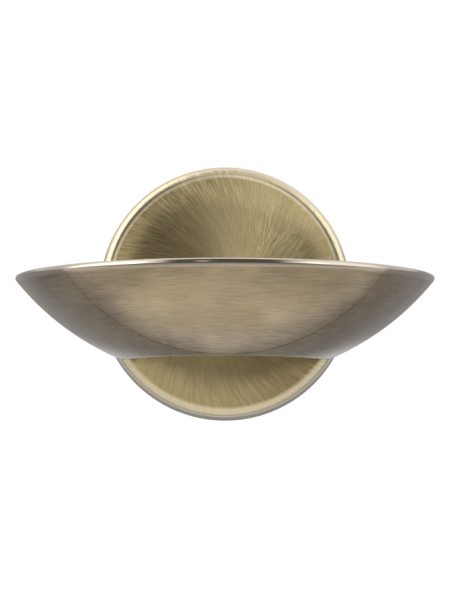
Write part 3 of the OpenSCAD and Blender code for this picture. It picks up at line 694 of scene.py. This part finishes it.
def stage_sheet(name, width, height, middle, tilt, finish):
    """A flat stage piece, facing the way that the tilt turns it."""
    mesh = bmesh.new()
    bmesh.ops.create_grid(mesh, x_segments=1, y_segments=1, size=0.5)
    bmesh.ops.scale(mesh, verts=mesh.verts, vec=(width, height, 1))
    bmesh.ops.rotate(mesh, verts=mesh.verts, cent=(0, 0, 0), matrix=Matrix.Rotation(math.radians(tilt), 3, "X"))
    bmesh.ops.translate(mesh, verts=mesh.verts, vec=middle)
    return staged(mesh, name, finish)


def floor_finish():
    """Pale paper that keeps the object's shadow and is left white round it. It isn't there from below."""
    f = Finish("floor_paper")
    path = f.node("ShaderNodeLightPath").socket.node.outputs
    seen = f.sum("MAXIMUM", Wire(f, path["Is Camera Ray"]), Wire(f, path["Is Glossy Ray"]))
    seen = f.sum("MAXIMUM", seen, Wire(f, path["Is Transmission Ray"]))
    f.surface(Base_Color=(0.86, 0.86, 0.86), Roughness=0.9, Emission_Color=(1, 1, 1))
    f.plug(f.shader, {"Emission Strength": seen * 0.45})
    back = f.node("ShaderNodeNewGeometry").socket.node.outputs["Backfacing"]
    clear = f.node("ShaderNodeBsdfTransparent")
    mixed = f.node("ShaderNodeMixShader", None, {0: Wire(f, back), 1: Wire(f, f.shader.outputs[0]), 2: clear})
    f.tree.links.new(mixed.socket, f.tree.nodes["Material Output"].inputs[0])
    return f.material


floor = stage_sheet("floor", 12, 12, (0, 0, FLOOR_Z), 0, floor_finish())
print("floor, mm below the plate's centre:", round(-FLOOR_Z / MM))

# %% [markdown]
# Polished brass has hardly a look of its own: it shows its surroundings. A photographer puts it in a light
# tent, white at both sides and open towards the camera, where the room is dim. The tent here is a part of
# a large sphere that only reflections see. Its brightness is written over bearing and height, in degrees: a
# large panel and a smaller wing at each side, a window near the middle, and the dim room everywhere else.

# %% Light tent
DIM, TENT_R = 0.14, 1.3


def light_only(finish, colour, strength):
    """Makes a stage finish shine by itself, with no surface."""
    light = finish.node("ShaderNodeEmission", None, {"Color": colour, "Strength": strength})
    finish.tree.links.new(light.socket, finish.tree.nodes["Material Output"].inputs[0])
    return finish.material


def for_reflections_only(sheet):
    sheet.visible_camera = False
    sheet.visible_diffuse = False
    sheet.visible_transmission = False
    sheet.visible_shadow = False


def tent_finish():
    f = Finish("tent")
    x, y, z = f.parts(f.node("ShaderNodeVectorMath", {"operation": "NORMALIZE"}, {0: f.place()}))
    bearing = f.sum("ARCTAN2", x, y * -1.0) * math.degrees(1)
    height = f.sum("ARCSINE", z) * math.degrees(1)

    def panel(left, right, low, high, soft):
        """A lit panel with soft edges."""
        across = f.step(bearing, left - soft, left + soft) * f.step(bearing, right + soft, right - soft)
        return across * f.step(height, low - soft, low + soft) * f.step(height, high + soft, high - soft)

    left_panel = panel(-100, -44, 4, 62, 6) * 2.1
    right_panel = panel(44, 100, 4, 58, 9) * 1.3
    sides = f.step(f.sum("ABSOLUTE", bearing), 40, 60) * 0.6
    window = panel(-15, -9, 20, 32, 1.5) * 2.0
    left_wing = panel(-54, -32, 4, 34, 5) * 1.4
    right_wing = panel(32, 54, 4, 34, 5) * 1.4
    return light_only(f, (1, 1, 1), left_panel + right_panel + sides + window + left_wing + right_wing + DIM)


mesh = bmesh.new()
bmesh.ops.create_uvsphere(mesh, u_segments=48, v_segments=24, radius=TENT_R)
cut_away(mesh, (0, 0, 0), (0, 1, 0), fill=False)
cut_away(mesh, (0, 0, FLOOR_Z + 1 * MM), (0, 0, -1), fill=False)
tent = staged(mesh, "tent", tent_finish())
for_reflections_only(tent)
print("tent, faces:", len(tent.data.polygons))

# %% [markdown]
# The board that the light hangs on shows in the dish too. High up and in a ring round the plate it is
# bright, and below the plate the dish shades it. It ends in a dark edge, which is the thin curved line across
# the lower half of the dish, and under that edge the bright floor shows. In front of the light the floor's
# paper fades into the dim room.

# %% Board and fading floor
EDGE_TOP, EDGE_FOOT, EDGE_SOFT = -110 * MM, -115 * MM, 0.5 * MM
BOARD_HEIGHT = 0.7


def board_finish():
    f = Finish("board")
    x, y, z = f.parts(f.place())
    # from the floor up: bright floor, shade, the dark edge, the shaded board, the bright board
    bright = f.step(z, -0.12, -0.165) * 0.3 + 0.68
    bright = bright * (1.0 - f.step(f.sum("ABSOLUTE", x), 0.03, 0.12) * 0.25)
    below = f.step(z, EDGE_FOOT + EDGE_SOFT, EDGE_FOOT - EDGE_SOFT)
    under_top = f.step(z, EDGE_TOP + EDGE_SOFT, EDGE_TOP - EDGE_SOFT)
    edge = under_top * (1.0 - below)
    above = 1.0 - under_top
    near_plate = f.step(f.length(x, z), 0.092, 0.068)
    shaded = 1.0 - f.step(z, 0.0, -0.04) * f.step(f.length(x, z), 0.073, 0.068) * 0.7
    board = 0.42 + f.sum("MAXIMUM", near_plate, f.step(z, 0.025, 0.045)) * 0.53 + f.step(z, 0.1, 0.25) * 0.7
    return light_only(f, (0.96, 0.96, 1.0), bright * below + edge * 0.05 + above * board * shaded)


def fading_floor_finish():
    f = Finish("fading_floor")
    x, y, z = f.parts(f.place())
    near = f.step(y, -0.26, -0.17) * 0.33
    middle = f.step(y, -0.9, -0.4) * 0.35
    beside = 1.0 - f.step(f.sum("ABSOLUTE", x), 0.03, 0.3) * 0.1
    return light_only(f, (1.0, 0.97, 0.93), (near + middle) * beside + 0.25)


board_middle = (0, 1 * MM, FLOOR_Z - 2 * MM + BOARD_HEIGHT / 2)
board = stage_sheet("board", 1.4, BOARD_HEIGHT, board_middle, 90, board_finish())
fading_floor = stage_sheet("fading_floor", 2.6, 1.3, (0, -0.65, FLOOR_Z + 0.5 * MM), 0, fading_floor_finish())
for sheet in (board, fading_floor):
    for_reflections_only(sheet)
print("seen by reflections only:", [sheet.name for sheet in (tent, board, fading_floor)])

# %% [markdown]
# The world is plain white. Two soft boxes light whatever isn't metal. They are hidden from glossy rays, or
# the brass would show them as two hard rectangles.

# %% World and lamps
world = bpy.data.worlds.new("studio")
scene.world = world
world.use_nodes = True
tree = world.node_tree
path = tree.nodes.new("ShaderNodeLightPath")
seen = tree.nodes.new("ShaderNodeMath")
seen.operation = "MAXIMUM"
tree.links.new(path.outputs["Is Camera Ray"], seen.inputs[0])
tree.links.new(path.outputs["Is Glossy Ray"], seen.inputs[1])
either = tree.nodes.new("ShaderNodeMath")
either.operation = "MAXIMUM"
tree.links.new(seen.outputs[0], either.inputs[0])
tree.links.new(path.outputs["Is Transmission Ray"], either.inputs[1])
strength = tree.nodes.new("ShaderNodeMapRange")
strength.inputs["To Min"].default_value = 0.6
strength.inputs["To Max"].default_value = 1.0
tree.links.new(either.outputs[0], strength.inputs["Value"])
tree.nodes["Background"].inputs["Color"].default_value = (1, 1, 1, 1)
tree.links.new(strength.outputs[0], tree.nodes["Background"].inputs["Strength"])


def soft_lamp(name, place, target, width, height, watts):
    """A large soft box that faces a point."""
    data = bpy.data.lights.new(name, "AREA")
    data.shape = "RECTANGLE"
    data.size, data.size_y, data.energy = width, height, watts
    lamp = bpy.data.objects.new(name, data)
    lamp.location = place
    lamp.rotation_euler = (Vector(target) - Vector(place)).to_track_quat("-Z", "Y").to_euler()
    lamp.visible_glossy = False
    scene.collection.objects.link(lamp)
    return lamp


soft_lamp("left_box", (-1.7, -1.3, 0.45), (0, 0, 0), 0.9, 1.2, 26)
soft_lamp("top_box", (0.2, -0.7, 1.7), (0, 0, 0), 1.2, 0.8, 12)
scene.view_settings.view_transform = "Standard"

# %% [markdown]
# ## Sizes, and the end
# The box that the dressed light fills is printed.

# %% Write the sizes and finish
low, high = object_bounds()
print("visual box, mm:", [round(1000 * v, 2) for v in (*low, *high)])
